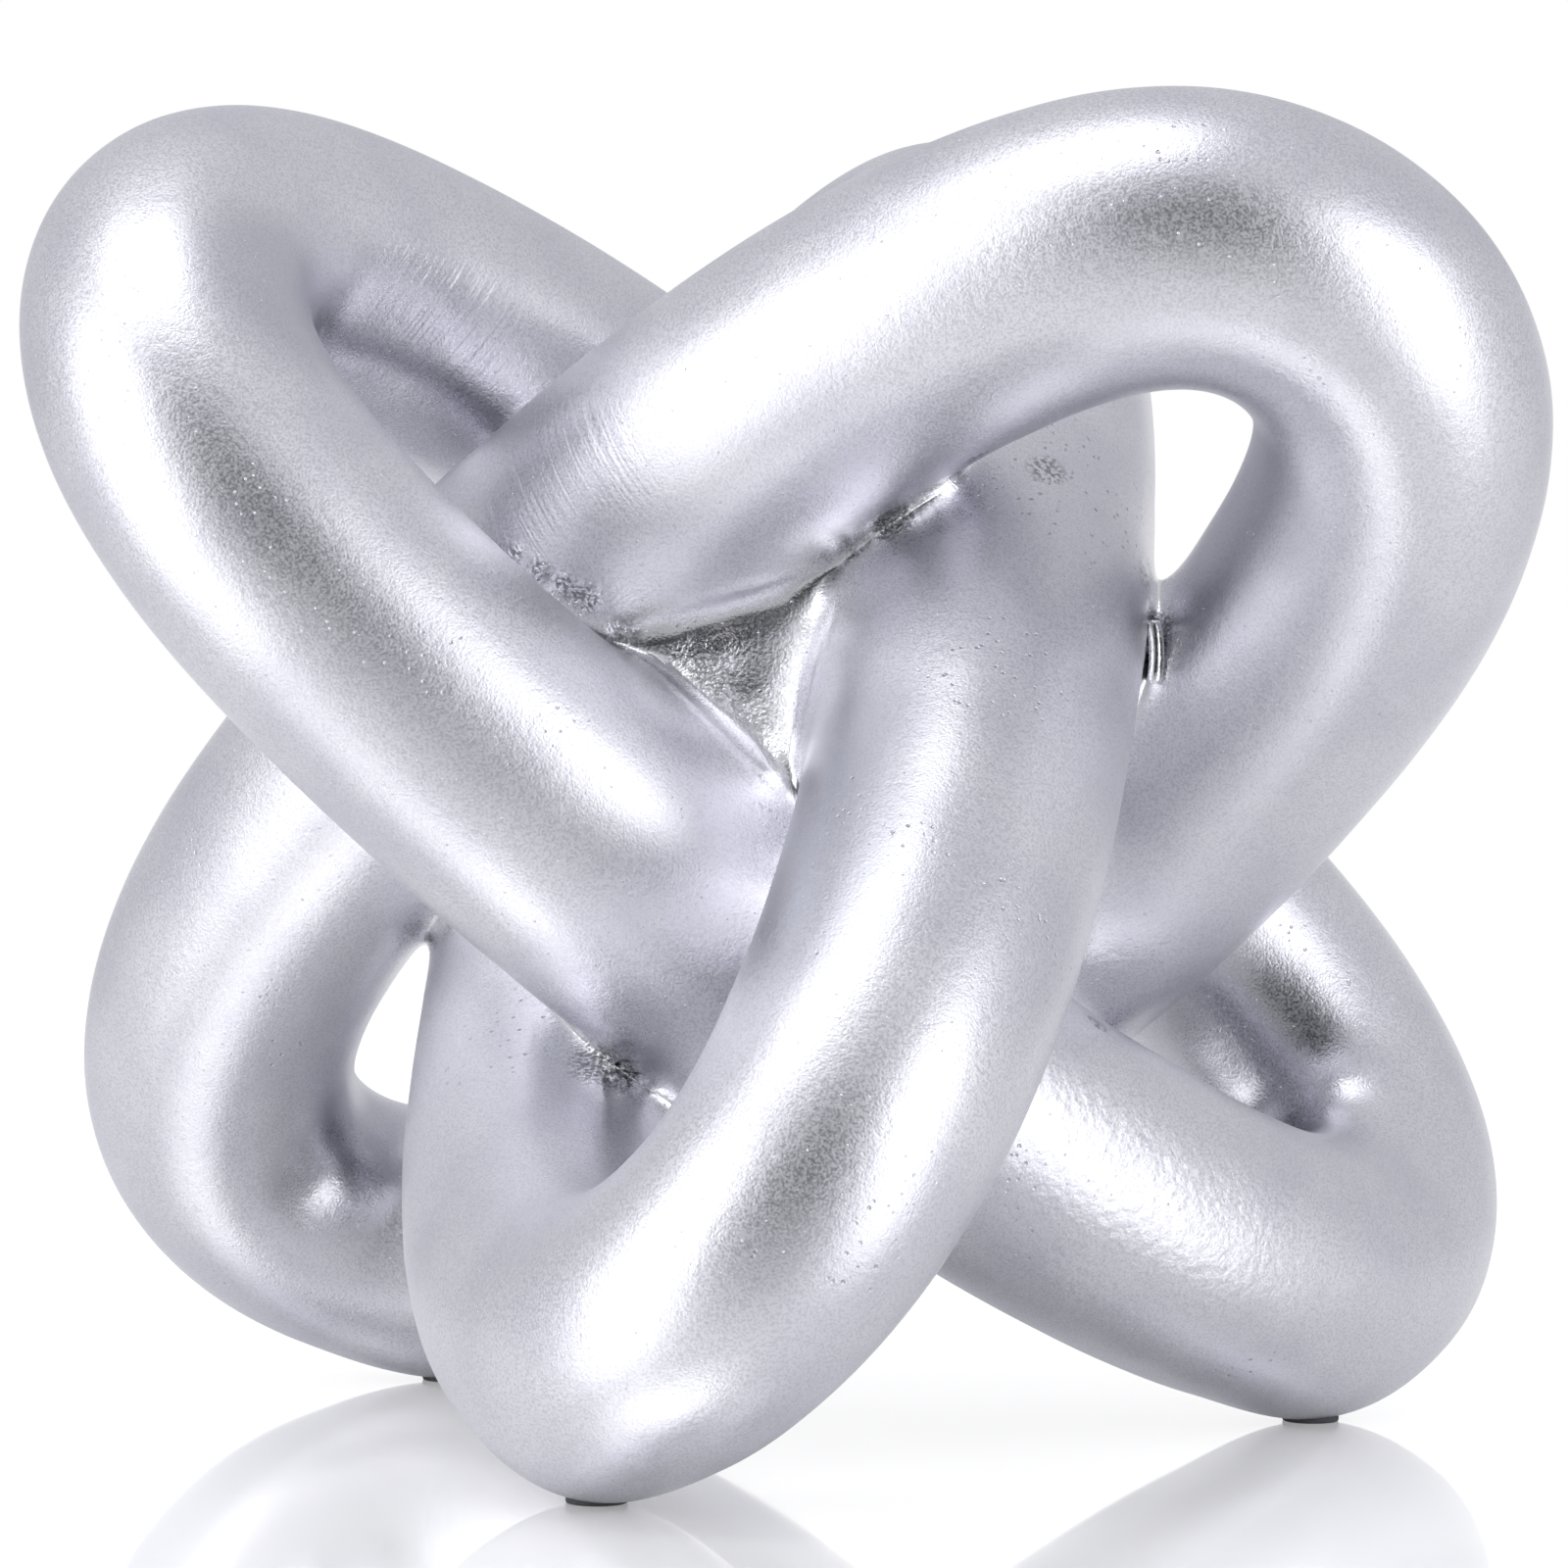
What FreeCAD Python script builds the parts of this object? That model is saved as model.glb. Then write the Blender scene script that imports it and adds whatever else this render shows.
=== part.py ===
import FreeCAD, Part
import math
import os

from FreeCAD import Placement, Rotation, Vector

# A knot of three linked rings of round bar, square to one another, that stands on three lobes.
# Millimetres. +Z is up, and the front lobe points to -Y. The origin is on the floor, under the
# point where the middles of the three rings meet.

# Ring: the bar's middle line is an oval of four arcs, two tight ones round the tips and two
# shallow ones along the limbs
ring_half_length = 77.9  # from the ring's middle to the middle line at a tip
ring_half_width = 30.3  # from the ring's middle to the middle line at the waist
tip_bend_radius = 22.2
bar_diameter = 28.0

# Butt joint at the middle of each limb, lined up by a dowel
dowel_diameter = 8.0
dowel_length = 26.0
dowel_end_chamfer = 0.8
dowel_clearance = 0.1  # all round, and at each end

# Crossings, where limbs of two rings are ground flat against each other and welded round
bite_radius = 7.0  # of the ground spot, where the bars only just touch
weld_radius = 9.5  # likewise
weld_bore_radius = 4.5  # the middle of the contact, which the filler doesn't reach
weld_half_height = 5.0
weld_clearance = 0.1  # to the bars, and to the central web

# Central web in the hollow between the six limbs
web_setback = 0.8  # from the limbs' middle lines at the waist to the web's ball

# Feet: a flat ground on each lower lobe, with a round pad stuck to it
foot_flat_depth = 0.7
foot_flat_radius = 14.0
pad_diameter = 8.0
pad_thickness = 1.0

overrun = 3.0  # how far a cutter runs past what it cuts

# Each ring is named by where it goes. The azimuth of its first lobe is counted from +X, and the
# other three values are the small faults of a ring made and joined by hand.
rings = {
    "left_ring": {
        "lobes": ("upper_left_lobe", "lower_right_lobe"),
        "azimuth": 210.0,
        "rises": True,
        "lengthened": 0.0,
        "slide": -0.8,
        "rise": -0.2,
        "turn": 0.3,
    },
    "right_ring": {
        "lobes": ("upper_right_lobe", "lower_left_lobe"),
        "azimuth": 330.0,
        "rises": True,
        "lengthened": 0.2,
        "slide": -1.3,
        "rise": 0.0,
        "turn": 1.1,
    },
    "middle_ring": {
        "lobes": ("front_lobe", "rear_lobe"),
        "azimuth": 270.0,
        "rises": False,
        "lengthened": 0.8,
        "slide": -0.2,
        "rise": 0.5,
        "turn": 1.2,
    },
}

# The ring that each ring's two limbs pass through, and the names of the two limbs
passes_through = {
    "left_ring": "middle_ring",
    "middle_ring": "right_ring",
    "right_ring": "left_ring",
}
limb_names = {
    "left_ring": ("front", "rear"),
    "right_ring": ("left", "right"),
    "middle_ring": ("right", "left"),
}
feet = {
    "front_pad": ("middle_ring", 1),
    "right_pad": ("left_ring", -1),
    "left_pad": ("right_ring", -1),
}

bar_radius = bar_diameter / 2
web_ball_radius = ring_half_width - web_setback
search_steps = 90  # samples in each search along a limb


def long_direction(ring_name):
    # three directions square to one another, all equally steep
    ring = rings[ring_name]
    steepness = math.asin(1 / math.sqrt(3))
    azimuth = math.radians(ring["azimuth"])
    climb = 1 if ring["rises"] else -1
    level = Vector(math.cos(azimuth), math.sin(azimuth), 0) * math.cos(steepness)
    return level + Vector(0, 0, climb * math.sin(steepness))


def ring_placement(ring_name):
    # local X runs along the ring and Y across it, before the knot is set level on its feet
    ring = rings[ring_name]
    along = long_direction(ring_name)
    across = long_direction(passes_through[ring_name])
    normal = along.cross(across)
    shift = along * ring["slide"] + normal * ring["rise"]
    facing = Rotation(along, across, normal, "ZXY")
    return Placement(shift, Rotation(normal, ring["turn"]).multiply(facing))


def tip_bend_middle(ring_name):
    # how far the middle of the tip's arc is from the ring's middle
    return ring_half_length + rings[ring_name]["lengthened"] - tip_bend_radius


def limb_bend_radius(ring_name):
    # of the shallow arc that runs into both tip arcs
    reach = tip_bend_middle(ring_name) ** 2 + ring_half_width**2 - tip_bend_radius**2
    return reach / (2 * (ring_half_width - tip_bend_radius))


def bend_change(ring_name):
    # the outward angle, from the tip, where the tip's arc gives way to the limb's
    return math.atan2(limb_bend_radius(ring_name) - ring_half_width, tip_bend_middle(ring_name))


def bend(ring_name, outward_angle):
    # the middle and the radius of the arc that faces that way
    if abs(math.sin(outward_angle)) <= math.sin(bend_change(ring_name)):
        side = math.copysign(1, math.cos(outward_angle))
        return Vector(side * tip_bend_middle(ring_name), 0, 0), tip_bend_radius
    radius = limb_bend_radius(ring_name)
    side = math.copysign(1, math.sin(outward_angle))
    return Vector(0, side * (ring_half_width - radius), 0), radius


def centre_point(ring_name, outward_angle):
    middle, radius = bend(ring_name, outward_angle)
    return middle + Vector(math.cos(outward_angle), math.sin(outward_angle), 0) * radius


def bent_bar(ring_name, start, end, radius):
    # one arc of bar, between two outward angles
    start_point = centre_point(ring_name, start)
    section = Part.Circle(start_point, Vector(-math.sin(start), math.cos(start), 0), radius)
    middle = bend(ring_name, (start + end) / 2)[0]
    disc = Part.Face(Part.Wire(section.toShape()))
    return disc.revolve(middle, Vector(0, 0, 1), math.degrees(end - start))


def half_ring(ring_name, side, growth):
    # the bar of one lobe, from one waist to the other round the tip
    change = bend_change(ring_name)
    radius = bar_radius + growth
    tip = bent_bar(ring_name, -change, change, radius)
    limbs = [
        bent_bar(ring_name, -math.pi / 2, -change, radius),
        bent_bar(ring_name, change, math.pi / 2, radius),
    ]
    bar = tip.fuse(limbs)
    if side < 0:
        bar.rotate(Vector(0, 0, 0), Vector(0, 0, 1), 180)
    return bar


def lowest_point(ring_name, up):
    # of the ring's bar, against the direction up
    place = ring_placement(ring_name)
    down = place.Rotation.inverted().multVec(up * -1)
    return place.multVec(centre_point(ring_name, math.atan2(down.y, down.x)) + down * bar_radius)


def standing_placement():
    # turns the knot so that its three feet are level, and lifts it onto its pads
    up = Vector(0, 0, 1)
    for repeat in range(4):
        front, right, left = [lowest_point(ring_name, up) for ring_name, side in feet.values()]
        up = (right - front).cross(left - front).normalize()
    lift = pad_thickness - foot_flat_depth - front.dot(up)
    return Placement(Vector(0, 0, lift), Rotation(up, Vector(0, 0, 1)))


standing = standing_placement()


def less(shape, cutters):
    for cutter in cutters:
        shape = shape.cut(cutter)
    return shape


def placed(shape, ring_name):
    shape.Placement = standing.multiply(ring_placement(ring_name)).multiply(shape.Placement)
    return shape


def limb_samples(ring_name, first_angle, last_angle):
    # points of the bar's middle line between two outward angles
    place = standing.multiply(ring_placement(ring_name))
    angle_step = (last_angle - first_angle) / search_steps
    angles = [first_angle + angle_step * step for step in range(search_steps + 1)]
    return [place.multVec(centre_point(ring_name, angle)) for angle in angles]


def crossing(inner_ring, outer_ring, side, limb):
    # where the limb of the inner ring rests against one limb of the outer ring's lobe:
    # the middle of the contact, the direction from the inner bar to the outer one, and how
    # deep the two bars would reach into each other
    change = bend_change(outer_ring)
    lobe_turn = 0 if side > 0 else math.pi
    inner = limb_samples(inner_ring, side * change, side * (math.pi - change))
    limb_turn = side * limb
    outer = limb_samples(outer_ring, lobe_turn + limb_turn * change, lobe_turn + limb_turn * math.pi / 2)
    pairs = ((a, b) for a in inner for b in outer)
    near, far = min(pairs, key=lambda pair: (pair[0] - pair[1]).Length)
    overlap = bar_diameter - (far - near).Length
    return (near + far) / 2, (far - near).normalize(), max(overlap, 0)


def all_crossings():
    found = {}
    for inner_ring, outer_ring in passes_through.items():
        for side, lobe in zip((1, -1), rings[outer_ring]["lobes"]):
            for limb, limb_name in zip((1, -1), limb_names[outer_ring]):
                place = crossing(inner_ring, outer_ring, side, limb)
                found[lobe + "_" + limb_name + "_weld"] = (inner_ring, outer_ring, side) + place
    return found


def round_contact(radius, overlap):
    # widens a radius by what two crossed bars share when they reach into each other
    return math.sqrt(radius**2 + overlap * (bar_diameter - overlap / 2))


def bite(point, direction, overlap):
    # takes the bar that reaches past the contact in the given direction
    return Part.makeCylinder(round_contact(bite_radius, overlap), weld_half_height, point, direction)


def dowel_bores(ring_name):
    # in the ring's own frame, across its two butt joints
    bore_radius = dowel_diameter / 2 + dowel_clearance
    bore_length = dowel_length + 2 * dowel_clearance
    start = Vector(-bore_length / 2, 0, 0)
    bores = []
    for limb in (1, -1):
        middle = Vector(0, limb * ring_half_width, 0)
        bore = Part.makeCylinder(bore_radius, bore_length, start + middle, Vector(1, 0, 0))
        bores.append(placed(bore, ring_name))
    return bores


def dowel(ring_name, limb):
    start = Vector(-dowel_length / 2, limb * ring_half_width, 0)
    pin = Part.makeCylinder(dowel_diameter / 2, dowel_length, start, Vector(1, 0, 0))
    rims = [edge for edge in pin.Edges if isinstance(edge.Curve, Part.Circle)]
    return placed(pin.makeChamfer(dowel_end_chamfer, rims), ring_name)


def foot_middle(ring_name):
    up = standing.Rotation.inverted().multVec(Vector(0, 0, 1))
    low = standing.multVec(lowest_point(ring_name, up))
    return Vector(low.x, low.y, 0)


def foot_flat(ring_name):
    bottom = foot_middle(ring_name) - Vector(0, 0, overrun)
    return Part.makeCylinder(foot_flat_radius, overrun + pad_thickness, bottom)


def pad(ring_name):
    return Part.makeCylinder(pad_diameter / 2, pad_thickness, foot_middle(ring_name))


def lobe(ring_name, side, crossings):
    # one U-shaped casting: its bar, less bores, ground spots and any foot
    cutters = dowel_bores(ring_name)
    for inner_ring, outer_ring, outer_side, point, direction, overlap in crossings.values():
        if inner_ring == ring_name:
            cutters.append(bite(point, direction, overlap))
        if outer_ring == ring_name and outer_side == side:
            cutters.append(bite(point, direction * -1, overlap))
    if (ring_name, side) in feet.values():
        cutters.append(foot_flat(ring_name))
    return less(placed(half_ring(ring_name, side, 0), ring_name), cutters)


def weld(inner_ring, outer_ring, side, point, direction, overlap, grown, ball):
    # the bead round one contact, in the wedge between the two bars
    start = point - direction * weld_half_height
    radius = round_contact(weld_radius, overlap)
    bead = Part.makeCylinder(radius, 2 * weld_half_height, start, direction)
    bore = Part.makeCylinder(weld_bore_radius, 2 * weld_half_height, start, direction)
    bars = [grown[inner_ring, 1], grown[inner_ring, -1], grown[outer_ring, side]]
    return less(bead, [bore] + bars + [ball])


def web_ball(growth):
    ball = Part.makeSphere(web_ball_radius + growth)
    ball.translate(standing.Base)
    return ball


def build():
    crossings = all_crossings()
    grown = {}
    parts = {}
    for ring_name, ring in rings.items():
        for side, lobe_name in zip((1, -1), ring["lobes"]):
            parts[lobe_name] = lobe(ring_name, side, crossings)
            grown[ring_name, side] = placed(half_ring(ring_name, side, weld_clearance), ring_name)
    for ring_name in rings:
        for limb, limb_name in zip((1, -1), limb_names[ring_name]):
            parts[ring_name + "_" + limb_name + "_dowel"] = dowel(ring_name, limb)
    parts["central_web"] = less(web_ball(0), grown.values())
    for weld_name, place in crossings.items():
        parts[weld_name] = weld(*place, grown, web_ball(weld_clearance))
    for pad_name, (ring_name, side) in feet.items():
        parts[pad_name] = pad(ring_name)
    return parts


os.makedirs("parts", exist_ok=True)
for part_name, shape in build().items():
    shape.exportStep("parts/" + part_name + ".step")
    print(part_name, len(shape.Solids), "solid,", round(shape.Volume), "mm3, valid:", shape.isValid())
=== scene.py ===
import math
import bpy
import numpy as np
from mathutils import Euler, Matrix, Vector


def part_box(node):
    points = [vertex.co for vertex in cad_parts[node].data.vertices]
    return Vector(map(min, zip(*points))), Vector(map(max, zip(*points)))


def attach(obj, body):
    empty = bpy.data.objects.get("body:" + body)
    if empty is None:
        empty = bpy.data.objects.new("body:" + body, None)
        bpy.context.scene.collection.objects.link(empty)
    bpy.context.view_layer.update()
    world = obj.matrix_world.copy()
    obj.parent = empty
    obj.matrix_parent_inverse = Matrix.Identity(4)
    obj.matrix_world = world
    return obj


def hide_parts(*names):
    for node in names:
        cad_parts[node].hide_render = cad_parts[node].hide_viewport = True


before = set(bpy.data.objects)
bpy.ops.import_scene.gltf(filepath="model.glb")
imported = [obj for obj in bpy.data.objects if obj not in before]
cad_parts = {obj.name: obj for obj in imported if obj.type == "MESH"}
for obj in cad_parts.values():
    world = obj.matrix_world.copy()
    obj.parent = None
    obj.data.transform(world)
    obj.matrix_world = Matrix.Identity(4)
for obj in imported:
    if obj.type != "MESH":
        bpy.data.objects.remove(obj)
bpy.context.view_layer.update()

# A knot of three linked bar rings, silver painted, standing on three lobes. Metres, +Z up.

print("frame loaded,", len(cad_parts), "nodes")

mm = 0.001
white = (1, 1, 1, 1)

# the same sizes and small faults as the construction, with softer curves
ringLook = {
    "halfLength": 77.9 * mm,  # middle of the ring to the bar's middle at a tip
    "halfWidth": 30.3 * mm,
    "bluntness": 4.1 * mm,  # how much squarer an end is than an ellipse's
    "waistBar": 29.2 * mm,  # bar thickness at the waist
    "tipBar": 26.8 * mm,
    "middleHeight": 64.99 * mm,  # where the three rings' middles meet
    "lean": (1.212, 0.413, 0.004),  # degrees about X, Y and Z, level on its feet
    "samples": 49,  # along a quarter of the ring, to start the search for the nearest place
}

# climb: 1 where the first lobe is the upper one; azimuth and turn in degrees
ringList = [
    {"lobes": ("upper_left_lobe", "lower_right_lobe"), "azimuth": 210, "climb": 1, "goesThrough": 2,
     "lengthened": 0.0, "slide": -0.8 * mm, "rise": -0.2 * mm, "turn": 0.3},
    {"lobes": ("upper_right_lobe", "lower_left_lobe"), "azimuth": 330, "climb": 1, "goesThrough": 0,
     "lengthened": 0.2 * mm, "slide": -1.3 * mm, "rise": 0.0, "turn": 1.1},
    {"lobes": ("front_lobe", "rear_lobe"), "azimuth": 270, "climb": -1, "goesThrough": 1,
     "lengthened": 0.8 * mm, "slide": -0.2 * mm, "rise": 0.5 * mm, "turn": 1.2},
]


def longDirection(ring):
    steepness = math.asin(1 / math.sqrt(3))  # three directions square to one another
    azimuth = math.radians(ring["azimuth"])
    flat = math.cos(steepness)
    rise = ring["climb"] * math.sin(steepness)
    return Vector((math.cos(azimuth) * flat, math.sin(azimuth) * flat, rise))


def ringFrame(ring):
    along = longDirection(ring)
    across = longDirection(ringList[ring["goesThrough"]])
    normal = along.cross(across)
    turn = math.radians(ring["turn"])
    turnedAlong = along * math.cos(turn) + across * math.sin(turn)
    turnedAcross = across * math.cos(turn) - along * math.sin(turn)
    lean = Euler([math.radians(a) for a in ringLook["lean"]], "XYZ").to_matrix()
    shift = along * ring["slide"] + normal * ring["rise"]
    origin = lean @ shift + Vector((0, 0, ringLook["middleHeight"]))
    return np.array(origin), np.array([lean @ turnedAlong, lean @ turnedAcross, lean @ normal])


ringFrames = [ringFrame(ring) for ring in ringList]
knotMiddle = np.array((0, 0, ringLook["middleHeight"]))


def middleLine(ring, t):
    # the bar's middle line, its slope and the bar's radius, in the ring's own plane
    blunt = ringLook["bluntness"]
    reach = ringLook["halfLength"] + ring["lengthened"] + blunt
    x = reach * np.cos(t) - blunt * np.cos(3 * t)
    y = ringLook["halfWidth"] * np.sin(t)
    slopeX = 3 * blunt * np.sin(3 * t) - reach * np.sin(t)
    slopeY = ringLook["halfWidth"] * np.cos(t)
    radius = (ringLook["waistBar"] + ringLook["tipBar"]) / 4
    radius = radius - (ringLook["waistBar"] - ringLook["tipBar"]) / 4 * np.cos(2 * t)
    return x, y, slopeX, slopeY, radius


def ringDistance(index, points):
    # distance to one ring's surface and the direction away from it
    ring = ringList[index]
    origin, axes = ringFrames[index]
    local = (points - origin) @ axes.T
    # a ring's four quarters are alike, so the search is done in one of them
    signs = np.where(local[:, :2] < 0, -1.0, 1.0)
    u, v, w = np.abs(local[:, 0]), np.abs(local[:, 1]), local[:, 2]
    samples = np.linspace(0, np.pi / 2, ringLook["samples"])
    sx, sy, _, _, _ = middleLine(ring, samples)
    nearest = np.argmin((u[:, None] - sx) ** 2 + (v[:, None] - sy) ** 2, axis=1)
    t = samples[nearest]
    for step in range(3):  # each step brings t nearer to the foot of the perpendicular
        x, y, dx, dy, _ = middleLine(ring, t)
        t = t + ((u - x) * dx + (v - y) * dy) / (dx * dx + dy * dy)
        t = np.clip(t, 0, np.pi / 2)
    x, y, dx, dy, radius = middleLine(ring, t)
    away = np.stack([(u - x) * signs[:, 0], (v - y) * signs[:, 1], w], axis=1)
    length = np.linalg.norm(away, axis=1) + 1e-9
    direction = (away / length[:, None]) @ axes
    return length - radius, direction


# the rings and the filler between them, run into each other
fusedLook = {
    "webRadius": 30.0 * mm,  # filler ball in the middle
    "filletSize": 1.1 * mm,  # softness of the run from one bar into the next
    "webFilletSize": 2.7 * mm,  # likewise, in the hollows where three bars meet
    "blendedFilletSize": 1.9 * mm,  # where the front limb runs into the bar behind it
    "blendedPlace": (1.0 * mm, -38.0 * mm, 50.0 * mm),
    "blendedReach": 10.0 * mm,
    "hollowReach": 44 * mm,  # how far from the middle the hollows end
    "hollowFade": 10 * mm,
    "voxel": 0.62 * mm,
    "quickVoxel": 1.5 * mm,
}


def eased(amount):
    amount = np.clip(amount, 0, 1)
    return amount * amount * (3 - 2 * amount)


def fromBlended(points):
    # distance from the blended joint, in its own reaches
    away = np.linalg.norm(points - np.array(fusedLook["blendedPlace"]), axis=1)
    return away / fusedLook["blendedReach"]


def softness(points):
    # wider fillets in the eight hollows between three bars, and at one blended joint
    fromMiddle = points - knotMiddle
    length = np.linalg.norm(fromMiddle, axis=1) + 1e-9
    local = np.abs(fromMiddle @ ringFrames[0][1].T) / length[:, None]
    hollow = eased((local.min(axis=1) * math.sqrt(3) - 0.25) / 0.45)  # 1 along the cube's diagonals
    hollow = hollow * eased((fusedLook["hollowReach"] - length) / fusedLook["hollowFade"])
    blended = eased(1.4 - fromBlended(points))
    plain = fusedLook["filletSize"]
    soft = plain + (fusedLook["webFilletSize"] - plain) * hollow
    return np.maximum(soft, plain + (fusedLook["blendedFilletSize"] - plain) * blended)


def fusedField(points):
    # one smooth distance for everything that is cast or welded together
    soft = softness(points)
    found = [ringDistance(index, points) for index in range(3)]
    fromMiddle = points - knotMiddle
    length = np.linalg.norm(fromMiddle, axis=1) + 1e-9
    found.append((length - fusedLook["webRadius"], fromMiddle / length[:, None]))
    distances = np.stack([d for d, _ in found], axis=1)
    least = distances.min(axis=1)
    weights = np.exp(-(distances - least[:, None]) / soft[:, None])
    total = weights.sum(axis=1)
    value = least - soft * np.log(total)
    weights = weights / total[:, None]
    gradient = sum(weights[:, i:i + 1] * found[i][1] for i in range(4))
    return value, gradient, distances


def ontoSkin(points, repeats):
    for step in range(repeats):
        value, gradient, _ = fusedField(points)
        scale = np.maximum((gradient ** 2).sum(axis=1), 0.15)  # no long leaps out of a crevice
        points = points - gradient * (value / scale)[:, None]
    return points


def tubeMesh(index, aroundCount=40, alongCount=160):
    ring = ringList[index]
    origin, axes = ringFrames[index]
    t = np.linspace(0, 2 * np.pi, alongCount, endpoint=False)
    x, y, dx, dy, radius = middleLine(ring, t)
    slope = np.hypot(dx, dy)
    side = np.stack([dy / slope, -dx / slope, 0 * t], axis=1)
    around = np.linspace(0, 2 * np.pi, aroundCount, endpoint=False)
    centre = np.stack([x, y, 0 * t], axis=1)
    lift = np.array([0, 0, 1.0])
    offset = np.cos(around)[None, :, None] * side[:, None, :] + np.sin(around)[None, :, None] * lift
    local = centre[:, None, :] + offset * radius[:, None, None]
    points = local.reshape(-1, 3) @ axes + origin
    faces = []
    for i in range(alongCount):
        for j in range(aroundCount):
            nextI, nextJ = (i + 1) % alongCount, (j + 1) % aroundCount
            corners = (i, j), (nextI, j), (nextI, nextJ), (i, nextJ)
            faces.append([a * aroundCount + b for a, b in corners])
    return points, faces


def roughUnion():
    # tubes and filler joined and remeshed into one closed skin
    allPoints, allFaces = [], []
    start = 0
    for index in range(3):
        points, faces = tubeMesh(index)
        allPoints.append(points)
        allFaces += [[c + start for c in face] for face in faces]
        start += len(points)
    mesh = bpy.data.meshes.new("roughUnion")
    mesh.from_pydata(np.concatenate(allPoints).tolist(), [], allFaces)
    knot = bpy.data.objects.new("roughUnion", mesh)
    bpy.context.scene.collection.objects.link(knot)
    ballRadius = fusedLook["webRadius"]
    bpy.ops.mesh.primitive_ico_sphere_add(subdivisions=5, radius=ballRadius, location=knotMiddle)
    ball = bpy.context.object
    bpy.ops.object.select_all(action="DESELECT")
    ball.select_set(True)
    knot.select_set(True)
    bpy.context.view_layer.objects.active = knot
    bpy.ops.object.join()
    remesh = knot.modifiers.new("Remesh", "REMESH")
    remesh.mode = "VOXEL"
    remesh.voxel_size = fusedLook["voxel"]
    evaluated = knot.evaluated_get(bpy.context.evaluated_depsgraph_get())
    skin = bpy.data.meshes.new_from_object(evaluated)
    points = np.empty(len(skin.vertices) * 3)
    skin.vertices.foreach_get("co", points)
    faces = np.empty(len(skin.polygons) * 4, dtype=np.int64)
    skin.polygons.foreach_get("vertices", faces)
    bpy.data.objects.remove(knot)
    bpy.data.meshes.remove(skin)
    return points.reshape(-1, 3), faces.reshape(-1, 4)


def relaxed(points, faces):
    # each point moves half-way to the middle of its neighbours
    edges = np.concatenate([faces[:, [0, 1]], faces[:, [1, 2]], faces[:, [2, 3]], faces[:, [3, 0]]])
    count = np.bincount(edges.ravel(), minlength=len(points))
    total = np.zeros_like(points)
    for axis in range(3):
        total[:, axis] = np.bincount(edges[:, 0], points[edges[:, 1], axis], len(points))
        total[:, axis] += np.bincount(edges[:, 1], points[edges[:, 0], axis], len(points))
    return (points + total / count[:, None]) / 2


def pointNormals(points, faces):
    corners = points[faces]
    normal = np.cross(corners[:, 2] - corners[:, 0], corners[:, 3] - corners[:, 1])
    total = np.zeros_like(points)
    for axis in range(3):
        for corner in range(4):
            total[:, axis] += np.bincount(faces[:, corner], normal[:, axis], len(points))
    return total / (np.linalg.norm(total, axis=1)[:, None] + 1e-20)


def softNoise(points, size, seed):
    # smooth noise from -1 to 1, one lump per size
    scaled = points / size + seed * 17.31
    cell = np.floor(scaled)
    inside = scaled - cell
    inside = inside * inside * (3 - 2 * inside)
    total = 0
    for corner in np.ndindex(2, 2, 2):
        place = cell + corner
        mixed = place @ np.array([127.1, 311.7, 74.7])  # any large unlike numbers will do
        value = np.modf(np.abs(np.sin(mixed) * 43758.5453))[0] * 2 - 1
        share = np.prod(np.where(np.array(corner) == 1, inside, 1 - inside), axis=1)
        total = total + value * share
    return total


padLook = {
    "seen": 0.22 * mm,  # how much of a pad's edge shows under its lobe
    "narrower": 1.2 * mm,  # than the pad's node, as the lobe closes round it
    "edge": 0.2 * mm,
    "sides": 64,
}

handMade = {
    "wave": 0.24 * mm,  # long slow unevenness of a hand-finished bar
    "waveSize": 26 * mm,
    "ripple": 0.04 * mm,
    "rippleSize": 7 * mm,
    "dent": 0.30 * mm,  # in the crevices, where nobody can sand
    "dentSize": 6.5 * mm,
    "dentReach": 11 * mm,
    "webCrumple": 0.30 * mm,  # skin of the filler in the middle
    "webCrumpleSize": 2.4 * mm,
    "webCrumpleFade": 14 * mm,  # the left of the window is more crumpled than the right
    "webLeast": 0.12,  # crumple left at the right
    "webEdge": 1.5 * mm,  # how soon the filler's look begins
    "lip": 0.26 * mm,  # filler pushed up along the bars' edges
    "lipPlace": 3.2 * mm,
    "lipWidth": 0.6 * mm,
    "lipNoise": 5 * mm,
    "footDrop": 1.0 * mm,  # the lobes sag round their pads
    "footReach": 16 * mm,
    "starHeight": 0.9 * mm,
    "starReach": 5.5 * mm,
    "starRays": 7,
    "starPlace": (-12.4 * mm, -30.6 * mm, 37.0 * mm),
    "starLevel": (0.35, -0.80, -0.50),  # the way that the star faces
}

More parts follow.
